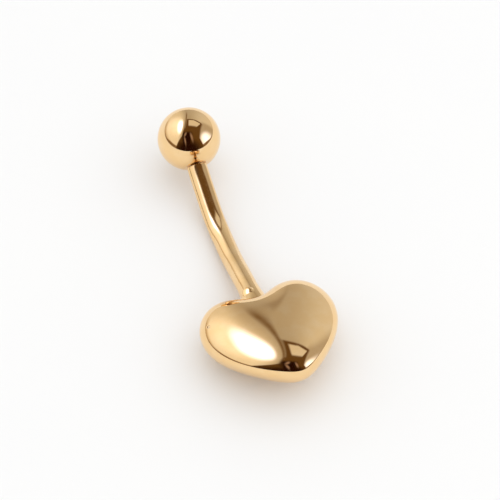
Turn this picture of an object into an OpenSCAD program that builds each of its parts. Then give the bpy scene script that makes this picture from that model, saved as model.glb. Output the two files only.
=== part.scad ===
// Navel ring: a bent bar with a puffed heart soldered on one end and a ball that screws on the other.
// The ring lies by itself on a flat surface, on the bend of its bar and on the back of its heart.
// +Z is up, +Y runs from the heart to the ball, and the origin is under the middle of the whole ring.

/* [Ball] */
// Diameter of the screw-on ball
ball_d = 5; // [4:0.1:8]
// Diameter of the small flat face around the ball's hole
ball_face_d = 2.2; // [2:0.05:3]
// Depth of the ball's hole, measured from its flat face
hole_depth = 3.2; // [3:0.1:3.6]
// Gap left between the ball's flat face and the end of the bar
seat_gap = 0.03; // [0.01:0.01:0.1]

/* [Bar] */
// Diameter of the bar
bar_d = 1.6; // [1.4:0.05:1.9]
// Radius of the bend, along the middle of the bar
bend_r = 13.5; // [9:0.5:25]
// Angle that the bend turns the bar through, up to the ball
bend_angle = 41; // [15:0.5:60]
// Straight length between the bend and the bottom of the heart's cleft
lower_straight = 5.75; // [4:0.05:10]
// Length of the bar that is soldered inside the heart
bar_sink = 1.6; // [0.8:0.1:2.5]

/* [Thread] */
// Diameter over the thread
thread_d = 1.2; // [1.1:0.05:1.3]
// Length of the threaded end
thread_length = 2.8; // [2:0.1:2.9]
// Distance from one groove of the thread to the next
thread_pitch = 0.25; // [0.2:0.05:0.4]
// Depth of each groove
groove_depth = 0.15; // [0.05:0.01:0.18]
// Gap all round the thread in the ball's hole
thread_gap = 0.04; // [0.02:0.01:0.1]
// Bevel at the free end of the thread
thread_bevel = 0.2; // [0.1:0.05:0.25]

/* [Heart] */
// Width of the heart across its lobes
heart_width = 10.5; // [8:0.1:16]
// Length of the heart from its tip to the top of its lobes
heart_length = 9.5; // [7:0.1:14]
// Height of the face over the widest outline
face_rise = 1.9; // [1.4:0.05:3]
// Depth of the back under the widest outline
back_rise = 2.65; // [1.4:0.05:4]
// Fullness of the puffed form: 2 is round like an egg, more is flatter on top with a tighter edge
fullness = 2.6; // [2:0.1:4]
// Angle that the heart is turned sideways on its bar
heart_turn = 5.5; // [-6:0.5:6]
// Distance of the heart's cleft from the bar's middle line, towards its left lobe
heart_offset = 0.1; // [0:0.05:0.3]
// Radius of the solder fillet where the bar enters the heart
solder_r = 0.35; // [0.1:0.05:0.6]

/* [Hidden] */
$fn = 64;
// Waves of the heart's outline, as shares of its first wave: sideways, then along its length
side_waves = [1, 0.075, -0.148];
long_waves = [1, 0.26, -0.112, 0.02];
// Second and third wave round the heart that puff its tip and lobes and hollow its cleft and sides
puff_waves = [-0.23, 0.25];
// Steps round the outline, and from the crown down to the outline
turn_steps = 72;
level_steps = 12;
// Halvings in the search for the angle at which the ring lies, between two angles that hold it
rest_halvings = 26;
rest_low = -40;
rest_high = 60;
GOLD = [0.90, 0.68, 0.36];

ball_r = ball_d / 2;
bar_r = bar_d / 2;
// Distance from the ball's centre to its flat face
face_out = sqrt(ball_r * ball_r - ball_face_d * ball_face_d / 4);

// A heart curve: waves added together, at angle t from the tip. Level is 1 on the widest outline and 0
// at the crown, and each wave fades with its own power of the level, the short waves first.
function side_wave(t, level) = side_waves * [
    level * sin(t),
    pow(level, 2) * sin(2 * t),
    pow(level, 3) * sin(3 * t)
];
function long_wave(t, level) = -long_waves * [
    level * cos(t),
    pow(level, 2) * cos(2 * t),
    pow(level, 3) * cos(3 * t),
    pow(level, 4) * cos(4 * t)
];
function puff(t, level) = 1 + puff_waves * [pow(level, 2) * cos(2 * t), pow(level, 3) * cos(3 * t)];
turns = [for (i = [0 : turn_steps - 1]) 360 * i / turn_steps];
side_size = heart_width / (2 * max([for (t = turns) side_wave(t, 1)]));
long_reach = [for (t = turns) long_wave(t, 1)];
long_size = heart_length / (max(long_reach) - min(long_reach));
cleft_y = long_size * long_wave(180, 1);

// A point of the heart, with rise giving the height of the crown
function heart_point(t, level, rise) = [
    side_size * side_wave(t, level),
    long_size * long_wave(t, level),
    rise * puff(t, level) * sqrt(1 - pow(level, fullness))
];

// The heart as it sits on the bar, with the bottom of its cleft close to the bar's middle line
function turned(p) = [
    p.x * cos(heart_turn) - p.y * sin(heart_turn),
    p.x * sin(heart_turn) + p.y * cos(heart_turn),
    p.z
];
function seated(p) = turned(p - [0, cleft_y, 0]) - [heart_offset, lower_straight, 0];
levels = [for (j = [1 : level_steps]) sin(90 * j / level_steps)];
face_rings = [for (k = levels) [for (t = turns) seated(heart_point(t, k, face_rise))]];
back_rings = [for (k = levels) [for (t = turns) seated(heart_point(t, k, -back_rise))]];
face_crown = seated(heart_point(0, 0, face_rise));
back_crown = seated(heart_point(0, 0, -back_rise));
heart_points = [for (ring = concat(face_rings, back_rings)) each ring];

// Where the bend ends, and the ball's centre beyond it, in the bar's own upright plane
bend_end = [0, bend_r * sin(bend_angle), bend_r * (1 - cos(bend_angle))];
ball_centre = bend_end + (seat_gap + face_out) * [0, cos(bend_angle), sin(bend_angle)];

// Height and place along the surface of a point, when the ring is tipped back by an angle
function height(p, tip) = p.z * cos(tip) - p.y * sin(tip);
function along(p, tip) = p.y * cos(tip) + p.z * sin(tip);
function bend_point(a) = [0, bend_r * sin(a), bend_r * (1 - cos(a))];
function bend_foot(tip) = height(bend_point(min(max(tip, 0), bend_angle)), tip) - bar_r;
function ball_foot(tip) = height(ball_centre, tip) - ball_r;
function heart_foot(tip) = min([for (p = heart_points) height(p, tip)]);
function bar_over_heart(tip) = min(bend_foot(tip), ball_foot(tip)) - heart_foot(tip);
function settle(low, high, halvings) = let (middle = (low + high) / 2)
    halvings == 0 ? middle
    : bar_over_heart(middle) > 0 ? settle(middle, high, halvings - 1)
    : settle(low, middle, halvings - 1);
rest_tip = settle(rest_low, rest_high, rest_halvings);

// The middle of the whole ring as it lies, which goes to the origin
x_reach = concat([-ball_r, ball_r], [for (p = heart_points) p.x]);
y_reach = concat([along(ball_centre, rest_tip) + ball_r], [for (p = heart_points) along(p, rest_tip)]);
ring_middle = [
    (min(x_reach) + max(x_reach)) / 2,
    (min(y_reach) + max(y_reach)) / 2,
    heart_foot(rest_tip)
];

// Lays the ring down as it rests
module at_rest() {
    translate(-ring_middle) rotate([-rest_tip, 0, 0]) children();
}

// Turns +Z to run outwards from the bar's upper end, where the thread starts
module at_bar_end() {
    translate(bend_end) rotate([bend_angle - 90, 0, 0]) children();
}

// The puffed heart: rings from the crown of the face, over the outline, to the crown of the back
module heart() {
    rings = concat(face_rings, [for (j = [level_steps - 2 : -1 : 0]) back_rings[j]]);
    last = turn_steps * (len(rings) - 1);
    face_top = turn_steps * len(rings);
    back_top = face_top + 1;
    bands = [for (j = [0 : len(rings) - 2], i = [0 : turn_steps - 1])
        let (a = j * turn_steps + i, b = j * turn_steps + (i + 1) % turn_steps)
        each [[a, b, b + turn_steps], [a, b + turn_steps, a + turn_steps]]];
    face_cap = [for (i = [0 : turn_steps - 1]) [face_top, (i + 1) % turn_steps, i]];
    back_cap = [for (i = [0 : turn_steps - 1]) [back_top, last + i, last + (i + 1) % turn_steps]];
    polyhedron([for (ring = rings) each ring, face_crown, back_crown], concat(face_cap, bands, back_cap));
}

// The straight end of the bar, with the fillet of solder that rounds its corner with the cleft
module soldered_end() {
    rotate([90, 0, 0]) rotate_extrude() union() {
        square([bar_r, lower_straight + bar_sink]);
        difference() {
            translate([0, lower_straight - solder_r]) square([bar_r + solder_r, 2 * solder_r]);
            translate([bar_r + solder_r, lower_straight - solder_r]) circle(r = solder_r);
        }
    }
}

// The bend of the bar, as far as the ball
module bend() {
    translate([0, 0, bend_r]) rotate([0, 90, 0])
        rotate_extrude(angle = bend_angle) translate([bend_r, 0]) circle(r = bar_r);
}

// The threaded end: a plain neck, then ridges with a groove between each two, and a bevelled tip
module thread() {
    root_r = thread_d / 2 - groove_depth;
    ridge_count = floor((thread_length - thread_pitch - thread_bevel) / thread_pitch);
    ridges = [for (i = [1 : ridge_count]) each [
        [root_r, thread_pitch * i],
        [thread_d / 2, thread_pitch * (i + 0.5)]
    ]];
    at_bar_end() rotate_extrude() polygon(concat(
        [[0, -bar_r / 2], [root_r, -bar_r / 2]],
        ridges,
        [
            [root_r, thread_pitch * (ridge_count + 1)],
            [root_r, thread_length - thread_bevel],
            [root_r - thread_bevel, thread_length],
            [0, thread_length]
        ]
    ));
}

// The heart and the bar, soldered into one piece
module heart_bar() {
    color(GOLD) at_rest() union() {
        heart();
        soldered_end();
        bend();
        thread();
    }
}

// The ball: a sphere with a flat face round a blind hole for the thread
module ball() {
    color(GOLD) at_rest() at_bar_end() translate([0, 0, seat_gap]) difference() {
        translate([0, 0, face_out]) sphere(r = ball_r);
        translate([0, 0, -ball_r]) cylinder(h = ball_r, r = ball_r);
        translate([0, 0, -ball_r]) cylinder(h = ball_r + hole_depth, r = thread_d / 2 + thread_gap);
    }
}

heart_bar();
ball();
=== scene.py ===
import math

import bpy
import numpy as np
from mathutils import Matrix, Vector


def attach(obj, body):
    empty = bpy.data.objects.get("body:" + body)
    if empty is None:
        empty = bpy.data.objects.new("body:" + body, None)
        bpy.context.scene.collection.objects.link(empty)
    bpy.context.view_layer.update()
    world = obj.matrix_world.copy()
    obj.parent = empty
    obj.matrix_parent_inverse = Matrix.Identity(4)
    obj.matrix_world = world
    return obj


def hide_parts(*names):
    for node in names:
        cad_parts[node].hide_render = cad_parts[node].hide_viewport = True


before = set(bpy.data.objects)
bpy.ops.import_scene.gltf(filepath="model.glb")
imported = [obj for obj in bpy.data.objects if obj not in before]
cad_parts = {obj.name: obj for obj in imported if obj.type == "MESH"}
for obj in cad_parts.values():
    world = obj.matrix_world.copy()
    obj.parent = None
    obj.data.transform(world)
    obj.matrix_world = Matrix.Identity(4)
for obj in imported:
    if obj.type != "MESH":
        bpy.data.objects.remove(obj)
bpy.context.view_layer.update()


# THE HEART
# A puffed heart of cast metal, fuller on its back than on its face, ground smooth, polished to a
# mirror and coated in yellow gold. It is soldered to the bar by the bottom of its cleft.

heart_width, heart_length = 10.5, 9.5   # mm, across the lobes and from the tip to the lobes' top
face_rise, back_rise = 1.9, 2.65        # mm, from the widest outline up to the face and down to the back
fullness = 2.6                          # 2 is round like an egg, more is flatter with a tighter edge
heart_turn = math.radians(5.5)          # sideways turn of the heart on its bar
heart_offset = 0.1                      # mm, how far the cleft is to the left of the bar's middle line
side_waves = (1, 0.075, -0.148)         # the outline's waves sideways, as shares of the first
long_waves = (1, 0.26, -0.112, 0.02)    # and along the heart's length
puff_waves = (0, -0.23, 0.25)           # waves that puff the lobes and the tip and hollow the cleft
outline_step = 0.5                      # degrees between the places where the outline is measured
heart_points, heart_rings = 280, 181    # round the heart, and from crown to crown
heart_wave_height = 0.0015              # mm, of the faint waves that polishing has left
pinhole_turn, pinhole_fall = 4.677, 1.133    # radians, where it lies near the left edge
pinhole_radius, pinhole_depth = 0.19, 0.12   # mm

millimetre = 0.001                      # m, the scene's unit
lower_straight = 5.75                   # mm of straight bar between its bend and the cleft
rest_tip = math.radians(11.7227)        # angle at which the ring lies on its bend and its heart's back
ring_middle = (0.106603, -0.0813612, -1.08158)  # mm, the point that lies over the origin


def waves(turn, shares, wave, level=1.0):
    """Adds the shares of a wave's first, second, third... harmonic at each angle. Each harmonic
    fades with the level to the power of its number."""
    return sum(share * level ** number * wave(number * turn) for number, share in enumerate(shares, 1))


def lie_down(x, y, z):
    """Points of the ring, in mm, with y along the straight bar and z towards the face, are tipped
    back by the rest angle, moved over the origin and given in metres."""
    lying = np.stack(np.broadcast_arrays(
        x - ring_middle[0],
        y * math.cos(rest_tip) + z * math.sin(rest_tip) - ring_middle[1],
        z * math.cos(rest_tip) - y * math.sin(rest_tip) - ring_middle[2]), axis=-1)
    return lying * millimetre


def heart_surface(turn, fall):
    """The outline is a sum of sine waves sideways and cosine waves along the heart. Each ring is
    the outline at the level sin(fall), where the short waves fade first, so that the cleft softens
    towards the crown. It stands at the rise times the root of 1 - level ** fullness, times 1 plus
    the puff waves. Fall 0 is the crown of the face, a quarter turn the widest outline, and a half
    turn the crown of the back."""
    sweep = np.radians(np.arange(0, 360, outline_step))
    side_size = heart_width / (2 * waves(sweep, side_waves, np.sin).max())
    long_size = heart_length / np.ptp(waves(sweep, long_waves, np.cos))
    cleft = -long_size * waves(math.pi, long_waves, np.cos)
    level = np.sin(fall)
    x = side_size * waves(turn, side_waves, np.sin, level)
    y = -long_size * waves(turn, long_waves, np.cos, level) - cleft
    rise = np.where(fall < math.pi / 2, face_rise, -back_rise)
    puff = 1 + waves(turn, puff_waves, np.cos, level)
    z = rise * puff * np.sqrt(np.clip(1 - level ** fullness, 0, 1))
    return lie_down(x * math.cos(heart_turn) - y * math.sin(heart_turn) - heart_offset,
                    x * math.sin(heart_turn) + y * math.cos(heart_turn) - lower_straight, z)


def even_turns(count):
    """That many even angles round a full turn."""
    return np.linspace(0, 2 * math.pi, count, endpoint=False)


def skin(name, rows, **marks):
    """A closed mesh over rows of points. Each row is a ring, and the first and the last row are
    drawn together into one point, which closes the ends. A mark is one vector for each point."""
    count, around = rows.shape[:2]
    here = np.arange((count - 2) * around).reshape(count - 2, around)
    beside = np.roll(here, -1, axis=1)
    first, last = here.size, here.size + 1
    bands = np.stack([here[:-1], beside[:-1], beside[1:], here[1:]], axis=-1).reshape(-1, 4)
    caps = np.concatenate([
        np.stack([np.full(around, first), beside[0], here[0]], axis=-1),
        np.stack([np.full(around, last), here[-1], beside[-1]], axis=-1)])

    def run(grid):
        """One vector for each point of the mesh: the rings between the two ends, then the ends."""
        return np.concatenate([grid[1:-1].reshape(-1, 3), grid[0, :1], grid[-1, :1]])

    mesh = bpy.data.meshes.new(name)
    mesh.from_pydata(run(rows).tolist(), [], bands.tolist() + caps.tolist())
    mesh.polygons.foreach_set("use_smooth", np.ones(len(mesh.polygons), dtype=bool))
    for mark, grid in marks.items():
        mesh.attributes.new(mark, "FLOAT_VECTOR", "POINT").data.foreach_set("vector", run(grid).ravel())
    piece = bpy.data.objects.new(name, mesh)
    bpy.context.collection.objects.link(piece)
    return piece


class Wire:
    """The output of a shader node. Arithmetic with wires and numbers adds Math nodes."""

    def __init__(self, tree, socket=None):
        self.tree = tree
        self.socket = socket

    def add(self, kind, settings=None, sockets=None, out=0):
        """Adds a node, sets it, fills its sockets with values or wires, and gives one output."""
        node = self.tree.nodes.new(kind)
        for name, value in (settings or {}).items():
            setattr(node, name, value)
        for name, value in (sockets or {}).items():
            if isinstance(value, Wire):
                self.tree.links.new(value.socket, node.inputs[name])
            else:
                node.inputs[name].default_value = value
        return Wire(self.tree, node.outputs[out] if len(node.outputs) else None)

    def number(self, operation, *terms):
        """A Math node over wires and numbers."""
        return self.add("ShaderNodeMath", {"operation": operation}, dict(enumerate(terms)))

    def vector(self, operation, *terms, out="Vector"):
        """A Vector Math node over wires and vectors."""
        return self.add("ShaderNodeVectorMath", {"operation": operation}, dict(enumerate(terms)), out)

    def __add__(self, other):
        return self.number("ADD", self, other)

    def __radd__(self, other):
        return self.number("ADD", other, self)

    def __sub__(self, other):
        return self.number("SUBTRACT", self, other)

    def __rsub__(self, other):
        return self.number("SUBTRACT", other, self)

    def __mul__(self, other):
        return self.number("MULTIPLY", self, other)

    def __rmul__(self, other):
        return self.number("MULTIPLY", other, self)

    def __truediv__(self, other):
        return self.number("DIVIDE", self, other)

    def __rtruediv__(self, other):
        return self.number("DIVIDE", other, self)

    def __pow__(self, other):
        return self.number("POWER", self, other)

    def __rpow__(self, other):
        return self.number("POWER", other, self)

    def __abs__(self):
        return self.number("ABSOLUTE", self)

    def at_least(self, other):
        """The greater of the wire and another wire or number."""
        return self.number("MAXIMUM", self, other)

    def ramp(self, low, high):
        """Goes smoothly from 0 where the wire is at low to 1 where it is at high. Low can be the
        greater of the two, and then it falls as the wire rises."""
        return self.add("ShaderNodeMapRange", {"interpolation_type": "SMOOTHSTEP"},
                        {"Value": self, "From Min": low, "From Max": high})

    def blend(self, low, high):
        """The colour low where the wire is 0, high where it is 1."""
        return self.add("ShaderNodeMix", {"data_type": "RGBA"}, {0: self, 6: low, 7: high}, 2)

    def noise(self, place, scale, detail):
        """A random pattern with that many cells to the metre, and finer ones in them."""
        return self.add("ShaderNodeTexNoise", {}, {"Vector": place, "Scale": scale, "Detail": detail})

    def mark(self, name):
        """The mesh's mark of that name."""
        return self.add("ShaderNodeAttribute", {"attribute_name": name}, out="Vector")


def cleared(owner):
    """Empties the node tree of a material or a world, and gives a wire that adds nodes to it."""
    owner.use_nodes = True
    owner.node_tree.nodes.clear()
    return Wire(owner.node_tree)


GOLD = (0.93, 0.64, 0.32, 1)
PALE_GOLD = (0.95, 0.68, 0.37, 1)
WAVE_PATTERN = (450, 1)                 # cells to the metre, and how finely they are broken up
HAIR_PATTERN = (26000, 3)
HAZE_PATTERN = (900, 3)
haze_levels = (0.35, 0.75)              # of its pattern, where the haze starts and where it is full
haze_roughness = 0.03


def polished_gold(name, place, wave_height, roughness=0.045, hairs=None, lean=None, pit=None):
    """Yellow gold polish: a mirror with a faint low waviness as bump, and with a little more haze
    and a paler tone in places. Place gives the patterns' coordinates, and lengths are in mm. Hairs
    is the height of the polishing hairs and how closely they are packed along each axis. Lean names
    a mark that is added to the surface's normal, for flats too shallow to be modelled. Pit is the
    middle, in metres, the radius and the depth of a pinhole in the casting."""
    material = bpy.data.materials.new(name)
    wire = cleared(material)
    where = place(wire)
    haze = wire.noise(where, *HAZE_PATTERN).ramp(*haze_levels)
    height = wire.noise(where, *WAVE_PATTERN) * (wave_height * millimetre)
    if hairs:
        hair_height, packing = hairs
        packed = wire.vector("MULTIPLY", where, packing)
        height = height + wire.noise(packed, *HAIR_PATTERN) * (hair_height * millimetre)
    if pit:
        middle, radius, depth = pit
        beside = wire.vector("DISTANCE", where, middle, out="Value")
        height = height - depth * millimetre * beside.ramp(radius * millimetre, 0)
    normal = wire.add("ShaderNodeBump", {}, {"Height": height, "Distance": 1.0, "Strength": 1.0})
    if lean:
        normal = wire.vector("NORMALIZE", wire.vector("ADD", normal, wire.mark(lean)))
    gold = wire.add("ShaderNodeBsdfPrincipled", {}, {
        "Base Color": haze.blend(GOLD, PALE_GOLD),
        "Metallic": 1.0,
        "Roughness": roughness + haze_roughness * haze,
        "Normal": normal})
    wire.add("ShaderNodeOutputMaterial", {}, {"Surface": gold})
    return material


def by_object(wire):
    """The point's place in metres."""
    return wire.add("ShaderNodeTexCoord", out="Object")


heart_falls = np.linspace(0, math.pi, heart_rings)[:, None]
heart = skin("heart", heart_surface(even_turns(heart_points), heart_falls))
pinhole = (heart_surface(pinhole_turn, pinhole_fall), pinhole_radius, pinhole_depth)
heart.data.materials.append(polished_gold("heart_polish", by_object, heart_wave_height, pit=pinhole))
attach(heart, "barbell")
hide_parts("heart_bar")


# THE BAR
# A drawn rod of surgical steel, 1.6 mm thick, bent once, polished and gold coated. Its upper end is
# turned down and threaded for the ball, and its lower end sits in the heart.

bar_radius = 0.8              # mm
bend_radius = 13.5            # mm, along the middle of the bar
bend_angle = math.radians(41)
bar_sink = 1.6                # mm of bar inside the heart
bar_bevel = 0.05              # mm, at the shoulder under the ball
thread_radius = 0.6           # mm, over the thread's ridges
groove_depth = 0.15           # mm
pitch = 0.25                  # mm from ridge to ridge
thread_length = 2.8           # mm, its bevelled tip included
thread_bevel = 0.2            # mm
thread_fade = 0.1             # mm along which a thread starts or runs out
tip_flat = 0.1                # mm, radius of a ring on the flat end of the thread
uneven_from = -2.0            # mm along the bar from where its bend starts
uneven_waves = (-0.025, -0.045, 0.03, -0.075)  # mm

bevel_before = np.array([1, 0.7, 0.3, 0])    # rings of the shoulder's bevel, as shares of it, from its end
bevel_under = np.array([0, 0.08, 0.4, 1])    # and from the bar's side
tip_before = np.array([0.6, 0.2, 0])         # the same for the thread's bevel, from the bar's end
tip_under = np.array([0.3, 0.8, 0.95])       # and from the bottom of the groove
neck_beyond = np.array([0, 0, 0.02])         # mm, rings of the shoulder's inner corner, from its face
neck_over = np.array([0.1, 0.01, 0])         # and from the bottom of the groove
ring_gap = 0.01                              # mm between two rings that keep an edge crisp
shoulder_lead = 0.03                         # mm from the last ring of the bend to the shoulder's bevel
thread_lead = 0.06                           # mm from the shoulder to the first ring of the thread
bar_points = 96                              # round the bar
straight_rings, bend_rings, thread_rings = 80, 180, 150

bar_wave_height = 0.0025      # mm, of the faint waves that drawing and polishing have left
bar_roughness = 0.125
hair_height = 0.00016         # mm
hair_packing = (1, 1, 0.02)   # the hairs are drawn out 50 times along the bar

flats_turn = math.radians(105)         # round the bar, of the middle of its flats
flats_width = (0.1, 0.6)               # cosines of the turn from there, where they start and are full
long_flat = (1.8, 4.0, 8.8, 9.7)       # mm along the bar, where it starts, is full, fades and ends
long_lean = math.radians(5)            # back to the heart
short_flat = (2.2, 4.2, 4.7, 6.6)      # mm
short_lean = math.radians(6.8)
levelled = (2.0, 4.0, 9.4, 9.7)        # mm along the bar, where the flats are flatter across too
levelled_by = 0.2                      # share of the bar's roundness that is taken off there
levelled_turn = math.radians(80)       # round the bar, of the side that they are levelled to

bend_length = bend_radius * bend_angle
bar_start, bar_end = -lower_straight - bar_sink, bend_length + thread_length
thread_end = bar_end - thread_bevel
root_radius = thread_radius - groove_depth
around_bar = even_turns(bar_points)


def along_bar(along):
    """The bar's middle line, at a distance along it: straight before 0, an arc over the bend's
    length, and straight on in the arc's last direction. A hand-made bend is a little uneven: the
    line leaves the arc by sin(w) times a sum of sines of w, 2 w, 3 w, 4 w, where the way w runs from
    0 at uneven_from to half a turn at the bend's end. Gives y and z in mm and the direction's angle."""
    turned = np.clip(along, 0, bend_length)
    arc = turned / bend_radius
    over = along - turned
    reach = bend_length - uneven_from
    way = math.pi * np.clip((along - uneven_from) / reach, 0, 1)
    number = np.arange(1, len(uneven_waves) + 1)
    shares = np.array(uneven_waves)
    ways = np.expand_dims(way, -1) * number
    sines, cosines = np.sin(ways) @ shares, np.cos(ways) @ (shares * number)
    bulge = np.sin(way) * sines
    slope = (np.cos(way) * sines + np.sin(way) * cosines) * math.pi / reach
    y = bend_radius * np.sin(arc) + over * np.cos(arc) - bulge * np.sin(arc)
    z = bend_radius * (1 - np.cos(arc)) + over * np.sin(arc) + bulge * np.cos(arc)
    return y, z, arc + np.arctan(slope)


def round_bar(along, radius, turn):
    """A circle of that radius, at a right angle to the bar's middle line."""
    y, z, angle = along_bar(along)
    up = radius * np.sin(turn)
    return lie_down(radius * np.cos(turn), y - up * np.sin(angle), z + up * np.cos(angle))


def ridge(length, turn):
    """A screw thread's profile: 0 in the groove and 1 on the ridge, rising and falling evenly as
    the length less the share of a turn runs through one pitch."""
    share = (length / pitch - turn / (2 * math.pi)) % 1
    return 1 - np.abs(2 * share - 1)


def profile(*stretches):
    """The places along the axis and the radii of all rings of a turned shape, as two columns. A
    stretch is a pair of places and radii, and either of them can be one number for all its rings."""
    pairs = [np.stack(np.broadcast_arrays(*np.atleast_1d(*stretch))) for stretch in stretches]
    return np.concatenate(pairs, axis=1)[..., None]


def rise(value, start, full):
    """Goes smoothly from 0 where the value is at start to 1 where it is at full."""
    share = np.clip((value - start) / (full - start), 0, 1)
    return share ** 2 * (3 - 2 * share)


def hump(value, start, full, fade, end):
    """Rises smoothly from 0 at start to 1 at full, and falls smoothly from 1 at fade to 0 at end."""
    return rise(value, start, full) * rise(value, end, fade)


def bar_flats(along, turn):
    """The bending tool has left a long and a short shallow flat on the bar's upper side, which lean
    back to the heart. Gives what is added to the surface's normal: a part along the bar for the
    lean, and a part round it, which levels the flats across."""
    upper_side = rise(np.cos(turn - flats_turn), *flats_width)
    lean_by = -upper_side * (long_lean * hump(along, *long_flat) + short_lean * hump(along, *short_flat))
    level_by = -levelled_by * upper_side * np.sin(turn - levelled_turn) * hump(along, *levelled)
    across, upright = -level_by * np.sin(turn), level_by * np.cos(turn)
    direction = along_bar(along)[2] - rest_tip
    return np.stack([
        across,
        lean_by * np.cos(direction) - upright * np.sin(direction),
        lean_by * np.sin(direction) + upright * np.cos(direction)], axis=-1)


def straightened(along, turn):
    """The place in metres on the bar as it was before it was bent, with the third axis along it."""
    return np.stack(np.broadcast_arrays(
        millimetre * bar_radius * np.cos(turn),
        millimetre * bar_radius * np.sin(turn),
        millimetre * along), axis=-1)


def by_draw(wire):
    """The point's place on the straightened bar."""
    return wire.mark("drawn")


bar_along, bar_radii = profile(
    (bar_start, [0, bar_radius - ring_gap]),
    (np.linspace(bar_start, -ring_gap, straight_rings), bar_radius),
    (np.linspace(0, bend_length - bar_bevel - shoulder_lead, bend_rings), bar_radius),
    (bend_length - bar_bevel * bevel_before, bar_radius - bar_bevel * bevel_under),
    (bend_length + neck_beyond, root_radius + neck_over),
    (np.linspace(bend_length + thread_lead, thread_end, thread_rings), root_radius),
    (bar_end - thread_bevel * tip_before, root_radius - thread_bevel * tip_under),
    (bar_end, [tip_flat, 0]))
threaded = np.clip((bar_along - bend_length - thread_fade) / thread_fade, 0, 1)
threaded = threaded * np.clip((thread_end - bar_along) / thread_fade, 0, 1)
bar_radii = bar_radii + groove_depth * threaded * ridge(bar_along - bend_length, around_bar)
bar = skin("bar", round_bar(bar_along, bar_radii, around_bar),
           drawn=straightened(bar_along, around_bar), flats=bar_flats(bar_along, around_bar))
bar.data.materials.append(polished_gold(
    "bar_polish", by_draw, bar_wave_height, bar_roughness, hairs=(hair_height, hair_packing), lean="flats"))
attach(bar, "barbell")
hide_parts("heart_bar")


# THE SOLDER
# A collar of gold solder that has run round the bar where it enters the cleft. It is a long
# hollow curve from the bar's side to the heart's, with a small bead left on top of it.

solder_reach = 2.8            # mm along the bar from the bottom of the cleft
solder_height = 0.5           # mm over the bar's side at the bottom of the cleft
solder_depth = 0.5            # mm that the collar reaches into the heart
solder_tuck = 0.004           # mm that its thin end lies under the bar's side
solder_mean = 0.52            # share of that height that it has on average round the bar
solder_waves = (-0.2, 0.24)   # waves that make it larger on the left, and lower over and under the bar
solder_ripple = 0.05          # share of its uneven ripples
ripple_count = 5              # round the bar
ripple_start = 2              # radians
solder_rings = 150
solder_wave_height = 0.006    # mm, of the waves in its skin

bead_at = -4.72               # mm along the bar, of the middle of a bead of solder
bead_turn = math.radians(119)
bead_half_length, bead_half_width = 0.5, 0.5    # mm
bead_height, bead_slope = 0.12, 0.38            # mm in its middle, and how steeply it rises to the ball
bead_crown = 0.03                               # mm that its top is rounded by
bead_level = 0.7                                # share of the bar's roundness that it fills up
bead_side = 0.7                                 # radians from its middle up to which it does


def solder_collar(along, turn):
    """The radius of the collar. Its height over the bar falls with the square of what is left of the
    way from the cleft to its end. It is lower over and under the bar than beside it, larger on the
    left, and a little uneven. The bead is a sloping lens on top of it, whose edge falls as (1 - apart ** 2) ** 2, where
    apart is the square of the distance from its middle in its own half sizes, up to 1."""
    way = np.clip((along + lower_straight) / solder_reach, 0, 1)
    ripple = solder_ripple * np.sin(ripple_count * turn + ripple_start)
    size = solder_height * (solder_mean + waves(turn, solder_waves, np.cos) + ripple)
    ahead = along - bead_at
    beside = bar_radius * (turn - bead_turn)
    apart = np.clip((ahead / bead_half_length) ** 2 + (beside / bead_half_width) ** 2, 0, 1)
    aside = np.clip(turn - bead_turn, -bead_side, bead_side)
    level = bead_level * (bar_radius / np.cos(aside) - bar_radius)
    bead = np.clip(bead_height + bead_slope * ahead + level - bead_crown * apart, 0, 1)
    bead = bead * (1 - apart ** 2) ** 2
    return bar_radius - solder_tuck + size * (1 - way) ** 2 + bead


collar_along = np.linspace(-lower_straight, solder_reach - lower_straight, solder_rings)[:, None]
collar_radii = solder_collar(collar_along, around_bar)
shut = np.zeros((1, bar_points))        # the radius that closes an end
solder_along = np.concatenate([[[-lower_straight - solder_depth]] * 2, collar_along, collar_along[-1:]])
solder_radii = np.concatenate([shut, collar_radii[:1], collar_radii, shut])
solder = skin("solder", round_bar(solder_along, solder_radii, around_bar))
solder.data.materials.append(polished_gold("solder_gold", by_object, solder_wave_height))
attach(solder, "barbell")
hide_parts("heart_bar")


# THE BALL
# A ball of surgical steel, 5 mm across, turned, polished and gold coated. A flat face round its
# threaded blind hole meets the end of the bar, and it screws on and off by hand.

ball_radius = 2.5             # mm
face_radius = 1.1             # mm, of the flat face round the hole
face_ring = 0.9               # mm, radius of a ring on the flat face
seat_gap = 0.03               # mm between the flat face and the end of the bar
hole_radius = 0.64            # mm, at the ridges of its thread, which stay clear of the bar's
hole_depth = 3.2              # mm, its cone included
hole_cone = 0.3               # mm
mouth_bevel = 0.12            # mm
mouth_start = 0.006           # mm from the flat face to the first ring of the mouth's bevel
edge_bevel = 0.05             # mm, round the flat face
ball_wave_height = 0.0006     # mm, of the faint waves that polishing has left

edge_over = np.array([0.24, 0])              # rings of the face's bevel, as shares of it, from the face
edge_within = np.array([0.3, 1])             # and from its rim
cone_before = np.array([0.9, 0.1, 0])        # rings of the hole's cone, as shares of it, from its point
cone_radii = np.array([0.61, 0.06, 0])       # mm
ball_points, ball_rings, hole_rings = 160, 110, 150

mouth_radius = hole_radius + mouth_bevel
cone_start = hole_depth - hole_cone
face_out = math.sqrt(ball_radius ** 2 - face_radius ** 2)
around_ball = even_turns(ball_points)
edge_polar = math.pi - math.asin(face_radius / ball_radius) - edge_bevel / ball_radius
polar = np.linspace(0, edge_polar, ball_rings)
ball_along, ball_radii = profile(
    (face_out + ball_radius * np.cos(polar), ball_radius * np.sin(polar)),
    (edge_bevel * edge_over, face_radius - edge_bevel * edge_within),
    (0, [face_ring, mouth_radius + ring_gap]),
    (mouth_start, mouth_radius),
    (np.linspace(mouth_bevel, cone_start, hole_rings), hole_radius),
    (hole_depth - hole_cone * cone_before, cone_radii))
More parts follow.
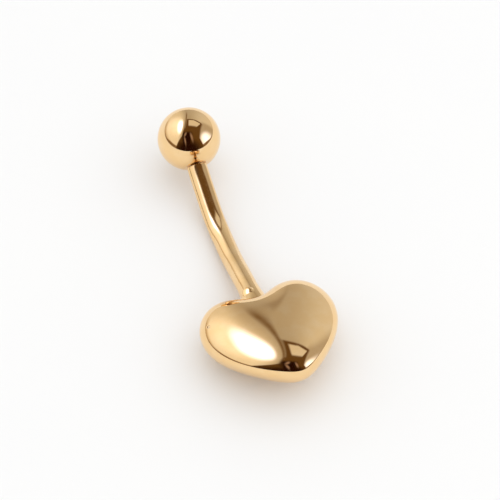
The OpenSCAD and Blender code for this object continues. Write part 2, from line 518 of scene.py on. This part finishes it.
# No ring of the ball's outside is as narrow as the hole, apart from those beyond its cone.
in_hole = ball_radii <= hole_radius
threaded = in_hole * np.clip((cone_start - ball_along) / thread_fade, 0, 1)
ball_radii = ball_radii + groove_depth * threaded * ridge(ball_along, around_ball)
ball = skin("ball_shell", round_bar(bend_length + seat_gap + ball_along, ball_radii, around_ball)[::-1])
ball.data.materials.append(polished_gold("ball_polish", by_object, ball_wave_height))
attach(ball, "ball")
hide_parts("ball")


# THE TABLE
# The ring lies on a wide table with a pale, matte and faintly grained top, which shows its soft
# shadow.

table_half = 3.0              # m
PALE_TOP = (0.90, 0.90, 0.90, 1)
PALER_TOP = (0.92, 0.92, 0.91, 1)
GRAIN_PATTERN = (60, 3)
table_roughness = 0.9

table_mesh = bpy.data.meshes.new("table")
table_corners = [(x * table_half, y * table_half, 0) for x, y in ((-1, -1), (1, -1), (1, 1), (-1, 1))]
table_mesh.from_pydata(table_corners, [], [(0, 1, 2, 3)])
table = bpy.data.objects.new("table", table_mesh)
bpy.context.collection.objects.link(table)
table_top = bpy.data.materials.new("pale_table")
top_wire = cleared(table_top)
grain = top_wire.noise(by_object(top_wire), *GRAIN_PATTERN)
matte = top_wire.add("ShaderNodeBsdfPrincipled", {}, {
    "Base Color": grain.blend(PALE_TOP, PALER_TOP),
    "Roughness": table_roughness})
top_wire.add("ShaderNodeOutputMaterial", {}, {"Surface": matte})
table_mesh.materials.append(table_top)


# THE CAMERA
# It looks down at the ring from the heart's side and a little from the left, close up, with a
# narrow field of view.

camera_azimuth = math.radians(18.6)     # the camera stands this far to the left of the ring's length
camera_elevation = math.radians(48.9)
camera_distance = 0.180                 # m from the place it looks at
looked_at = Vector((0.00176, 0.00180, 0))
field_of_view = math.radians(12.36)
sensor_width = 36                       # mm

camera = bpy.data.objects.new("camera", bpy.data.cameras.new("camera"))
bpy.context.collection.objects.link(camera)
away = Vector((-math.sin(camera_azimuth) * math.cos(camera_elevation),
               -math.cos(camera_azimuth) * math.cos(camera_elevation),
               math.sin(camera_elevation)))
camera.location = looked_at + away * camera_distance
camera.rotation_euler = (-away).to_track_quat("-Z", "Y").to_euler()
camera.data.sensor_width = sensor_width
camera.data.lens = sensor_width / 2 / math.tan(field_of_view / 2)
camera.data.clip_start = 0.005
camera.data.clip_end = 10
bpy.context.scene.camera = camera


# THE LIGHT TENT
# A tent of white cloth stands over the table. A big soft lamp shines through its left wall, a
# window lights its right side, and it is open towards the camera, where the room is dark.

CLOTH = (0.46, 0.42, 0.37, 1)
LIT_CLOTH = (0.93, 0.91, 0.88, 1)
HIGH_CLOTH = (0.80, 0.77, 0.72, 1)
# painted shade: the cloth at the foot of the left wall, darker where less of the lamp's light reaches it
SHADED_CLOTH = (0.60, 0.50, 0.39, 1)
HALO = (1.26, 1.24, 1.24, 1)
LAMP = (2.8, 3.0, 4.8, 1)
SEAM = (0.20, 0.13, 0.07, 1)
BACK = (0.47, 0.44, 0.40, 1)
LIT_BACK = (0.75, 0.74, 0.72, 1)
SIDE = (0.50, 0.46, 0.42, 1)
WINDOW = (1.8, 2.0, 2.8, 1)
ROOM = (0.13, 0.068, 0.020, 1)
DARK_ROOM = (0.018, 0.004, 0.001, 1)
SKYLIGHT = (0.75, 0.72, 0.68, 1)
STAND = (0.34, 0.24, 0.21, 1)
TABLE_EDGE = (0.24, 0.16, 0.09, 1)
SOFT_LIGHT = (0.92, 0.92, 0.92, 1)

# Places are parts of a direction, from -1 to 1, to the camera's right, away from it and upwards. An
# oval has a middle, half sizes, and a lean to the right as it goes away. The other pairs are where a
# smooth change starts and where it is done.
halo_oval = ((-0.60, 0.17), (0.38, 0.62), 0)
lamp_oval = ((-0.452, 0.10), (0.172, 0.43), 0.18)
window_oval = ((0.90, -0.25), (0.14, 0.33), 0.33)
stand_ovals = (
    ((-0.20, -0.45), (0.075, 0.13), 0.4),
    ((-0.215, -0.74), (0.055, 0.20), -0.28),
    ((0.19, -0.58), (0.085, 0.24), -0.35))
lamp_glow, window_glow, stand_shape = (1.25, 0.3), (2.2, 0.2), (1.3, 0.2)
window_falloff = 2.0
seam_at, seam_slope, seam_bow = -0.228, 0.235, 0.10
seam_shape, seam_end = (0.046, 0.0), (1.0, 0.79)
wall_edge = (-0.01, 0.01)
rim_rise, rim_rise_place = 0.11, (0.1, -0.4)
rim_height, rim_side = (0.09, 0.03), (0.45, 0.05)
horizon = (-0.005, 0.005)

world = bpy.data.worlds.new("light_tent")
bpy.context.scene.world = world
tent_wire = cleared(world)
look = tent_wire.add("ShaderNodeTexCoord", out="Generated")


def towards(*direction):
    """How far the ray's direction goes along another one, from -1 to 1."""
    return tent_wire.vector("DOT_PRODUCT", look, direction, out="Value")


right = towards(math.cos(camera_azimuth), -math.sin(camera_azimuth), 0)
far = towards(math.sin(camera_azimuth), math.cos(camera_azimuth), 0)
up = towards(0, 0, 1)
left_of_seam = seam_at + seam_slope * far - seam_bow * far * far - right


def spot(middle, half_size, lean):
    """Distance from the middle of an oval in its own half sizes: 1 at its edge."""
    beyond = far - middle[1]
    across = (right - middle[0] - beyond * lean) / half_size[0]
    length = beyond / half_size[1]
    return (across * across + length * length) ** 0.5


def left_wall():
    """Cloth that gets lighter away from the seam and dims again where it is high. It has the lamp
    and the halo round it, and painted shade on the cloth at its foot."""
    seam_shade, high_place = (-0.03, 0.29), (0.50, 0.85)
    halo_side, lamp_side = (0.06, 0.28), (0.09, 0.17)
    foot_height, foot_side = (0.27, 0.04), (-0.55, -0.80)
    lit = far.ramp(*high_place).blend(LIT_CLOTH, HIGH_CLOTH)
    wall = left_of_seam.ramp(*seam_shade).blend(CLOTH, lit)
    halo = left_of_seam.ramp(*halo_side) * spot(*halo_oval).ramp(*lamp_glow)
    wall = halo.blend(wall, HALO)
    # painted shade at the wall's foot, low down on its far left
    foot = up.ramp(*foot_height) * right.ramp(*foot_side)
    wall = foot.blend(wall, SHADED_CLOTH)
    lamp_light = left_of_seam.ramp(*lamp_side) * spot(*lamp_oval).ramp(*lamp_glow)
    return lamp_light.blend(wall, LAMP)


def back_wall():
    """Cloth that gets lighter to the right, with the tent's side and its window in front of it."""
    light_place, light_slant = (0.05, 0.95), 0.25
    side_from, side_full = 0.5, 0.6
    side_height, side_slope, side_edge = 0.46, 0.12, (-0.14, 0.10)
    back = (right + light_slant * far).ramp(*light_place).blend(BACK, LIT_BACK)
    side_top = side_height + side_slope * (right - side_full)
    side = (side_top - far).ramp(*side_edge) * right.ramp(side_from, side_full)
    back = side.blend(back, SIDE)
    window_light = spot(*window_oval).ramp(*window_glow) ** window_falloff
    return window_light.blend(back, WINDOW)


def opening():
    """1 in the opening towards the camera. Its top is bowed on the right, and its sides spread out
    as they come nearer."""
    near_from, left_spread, right_spread = -0.5, 0.95, 1.5
    left_step, left_step_place, right_place = 0.07, (0.0, -0.25), 0.66
    bow_from, top_place, top_bow = 0.08, 0.545, 0.52
    left_edge, right_edge, top_edge = (-0.01, 0.08), (-0.06, 0.05), (-0.03, 0.02)
    near = (near_from - far).at_least(0)
    bow = (right - bow_from).at_least(0)
    left_side = left_spread * near + left_step * far.ramp(*left_step_place)
    right_side = right_place + right_spread * near
    top = top_place - top_bow * bow * bow
    between = (left_side - left_of_seam).ramp(*left_edge) * (right_side - right).ramp(*right_edge)
    return between * (top - far).ramp(*top_edge)


def skylight():
    """1 in a skylight over the room, which narrows to the right."""
    left_edge, foot_edge, soft_edge = (-0.04, 0.03), (0.02, 0.17), (-0.02, 0.03)
    top_place, top_slope, slope_from = 0.49, 0.40, 0.25
    right_place, right_slope = 0.42, 0.5
    top = top_place - top_slope * (right - slope_from).at_least(0)
    right_side = right_place + right_slope * far
    high = (top - far).ramp(*soft_edge) * far.ramp(*foot_edge)
    return right.ramp(*left_edge) * high * (right_side - right).ramp(*soft_edge)


def dark_room():
    """The room, darkest in its middle and close to the camera, with its skylight and three stands."""
    middle_place, middle_right, middle_left = (-0.22, -0.42), (0.32, 0.05), (-0.50, -0.28)
    close_place = (-0.55, -0.95)
    middle = far.ramp(*middle_place) * right.ramp(*middle_right) * right.ramp(*middle_left)
    room = middle.at_least(far.ramp(*close_place)).blend(ROOM, DARK_ROOM)
    room = skylight().blend(room, SKYLIGHT)
    for stand_oval in stand_ovals:
        room = spot(*stand_oval).ramp(*stand_shape).blend(room, STAND)
    return room


tent = left_of_seam.ramp(*wall_edge).blend(back_wall(), left_wall())
seam = abs(left_of_seam).ramp(*seam_shape) * far.ramp(*seam_end)
tent = seam.blend(tent, SEAM)
rim_top = rim_rise * far.ramp(*rim_rise_place)
rim = (up - rim_top).ramp(*rim_height) * far.ramp(*rim_side)
tent = rim.blend(tent, TABLE_EDGE)
tent = opening().blend(tent, dark_room())
tent = up.ramp(*horizon).blend(LIT_CLOTH, tent)

# Only what is mirrored shows the tent. All other light from around is an even soft white.
mirrored = tent_wire.add("ShaderNodeLightPath", out="Is Glossy Ray")
surroundings = tent_wire.add("ShaderNodeBackground", {}, {
    "Color": mirrored.blend(SOFT_LIGHT, tent),
    "Strength": 1.0})
tent_wire.add("ShaderNodeOutputWorld", {}, {"Surface": surroundings})


# THE SOFT LAMP
# A wide round lamp high over the right of the ring gives it its faint shadow. The gold doesn't
# mirror it, and shows the tent's lamp and window instead.

soft_lamp_place = (0.16, -0.10, 0.48)   # m

soft_lamp_data = bpy.data.lights.new("soft_lamp", "AREA")
soft_lamp_data.shape = "DISK"
soft_lamp_data.size = 0.9
soft_lamp_data.energy = 0.85
soft_lamp = bpy.data.objects.new("soft_lamp", soft_lamp_data)
bpy.context.collection.objects.link(soft_lamp)
soft_lamp.location = soft_lamp_place
soft_lamp.rotation_euler = Vector(soft_lamp_place).to_track_quat("Z", "Y").to_euler()
soft_lamp.visible_glossy = False
bpy.context.scene.view_settings.view_transform = "Standard"
